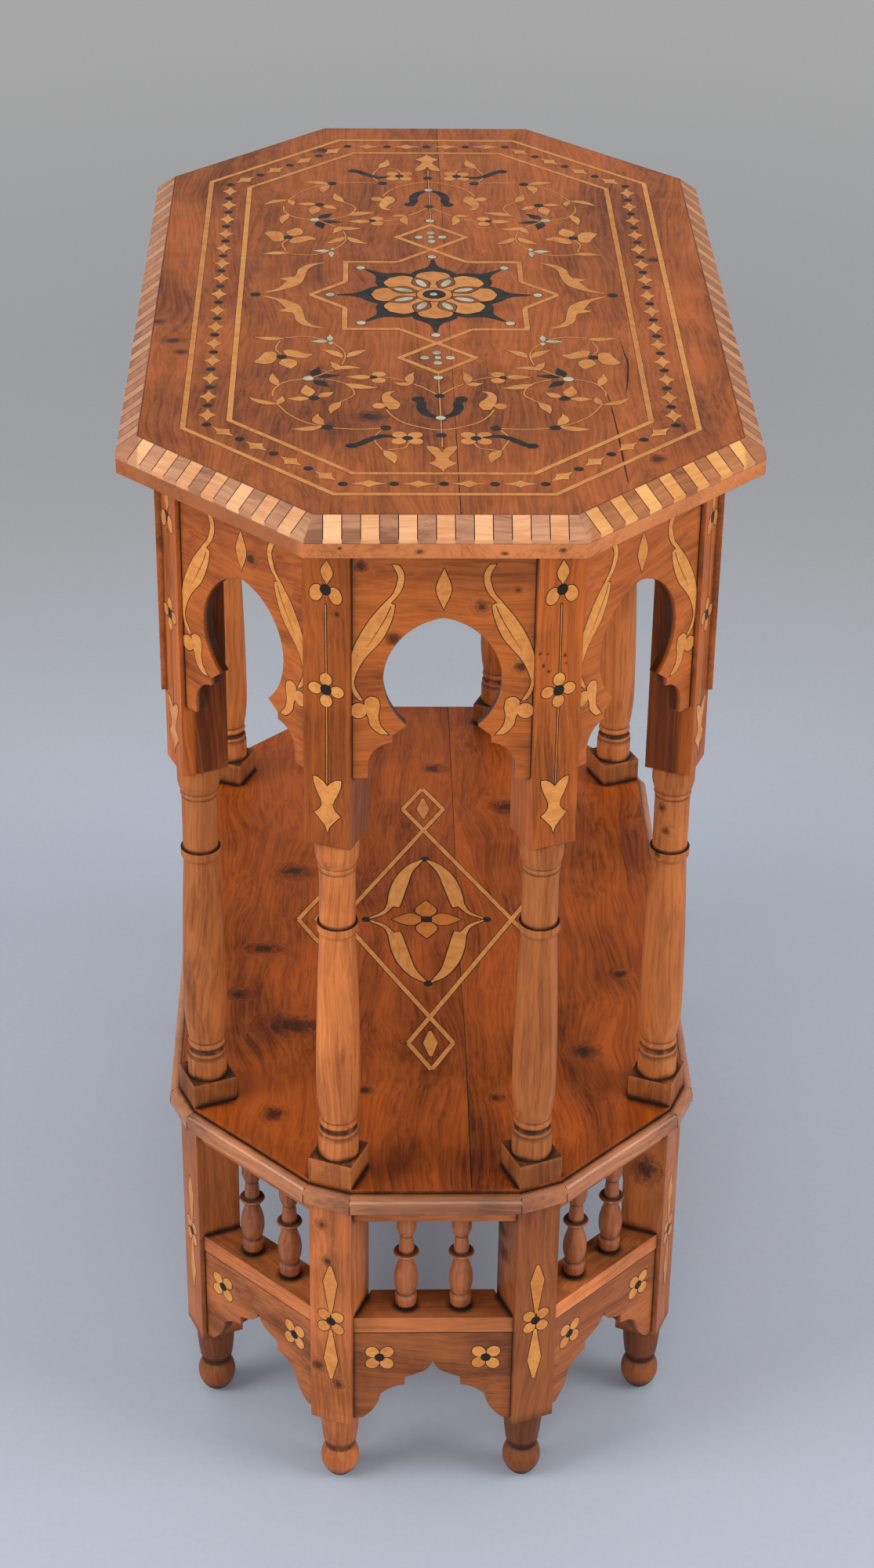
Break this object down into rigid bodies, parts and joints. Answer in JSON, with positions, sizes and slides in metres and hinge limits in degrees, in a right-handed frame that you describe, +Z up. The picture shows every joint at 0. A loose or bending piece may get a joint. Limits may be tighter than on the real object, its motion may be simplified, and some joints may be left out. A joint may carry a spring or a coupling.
{
  "type": "octagonal side table",
  "caption": "Two-tier side table: elongated octagonal top on turned columns with pointed arch panels, a shelf railed with balusters, scalloped aprons and ball feet.",
  "frame": {"origin": "on the floor, under the middle of the table", "axes": "+Z up, Y along the length with the front end at -Y, X across the width"},
  "size_m": [0.3622, 0.64, 0.7],
  "materials": {
    "top_wood": "waxed reddish yew, satin",
    "shelf_wood": "waxed yew with knots, satin",
    "panel_wood": "waxed yew, satin",
    "frame_wood": "waxed yew, satin",
    "turned_wood": "waxed yew, turned, satin",
    "light_stripe": "boxwood stripes, satin",
    "dark_stripe": "walnut stripes, satin"
  },
  "bodies": {
    "root": {"apron_back": "panel_wood", "apron_back_left_diagonal": "panel_wood", "apron_back_right_diagonal": "panel_wood", "apron_front": "panel_wood", "apron_front_left_diagonal": "panel_wood", "apron_front_right_diagonal": "panel_wood", "apron_left": "panel_wood", "apron_right": "panel_wood", "arch_panel_back": "panel_wood", "arch_panel_back_left_diagonal": "panel_wood", "arch_panel_back_right_diagonal": "panel_wood", "arch_panel_front": "panel_wood", "arch_panel_front_left_diagonal": "panel_wood", "arch_panel_front_right_diagonal": "panel_wood", "arch_panel_left": "panel_wood", "arch_panel_right": "panel_wood", "balusters_diagonals": "turned_wood", "balusters_ends": "turned_wood", "balusters_sides": "turned_wood", "cap_rails_diagonals": "frame_wood", "cap_rails_ends": "frame_wood", "cap_rails_sides": "frame_wood", "column_back_left": "turned_wood", "column_back_right": "turned_wood", "column_front_left": "turned_wood", "column_front_right": "turned_wood", "column_left_back": "turned_wood", "column_left_front": "turned_wood", "column_right_back": "turned_wood", "column_right_front": "turned_wood", "edge_stripes_dark": "dark_stripe", "edge_stripes_light": "light_stripe", "post_back_left": "frame_wood", "post_back_right": "frame_wood", "post_front_left": "frame_wood", "post_front_right": "frame_wood", "post_left_back": "frame_wood", "post_left_front": "frame_wood", "post_right_back": "frame_wood", "post_right_front": "frame_wood", "rail_back": "frame_wood", "rail_back_left_diagonal": "frame_wood", "rail_back_right_diagonal": "frame_wood", "rail_front": "frame_wood", "rail_front_left_diagonal": "frame_wood", "rail_front_right_diagonal": "frame_wood", "rail_left": "frame_wood", "rail_right": "frame_wood", "shelf_board_left": "shelf_wood", "shelf_board_right": "shelf_wood", "shelf_moulding_bays": "frame_wood", "shelf_moulding_corners": "frame_wood", "top_board_left": "top_wood", "top_board_right": "top_wood"}
  },
  "joints": []
}
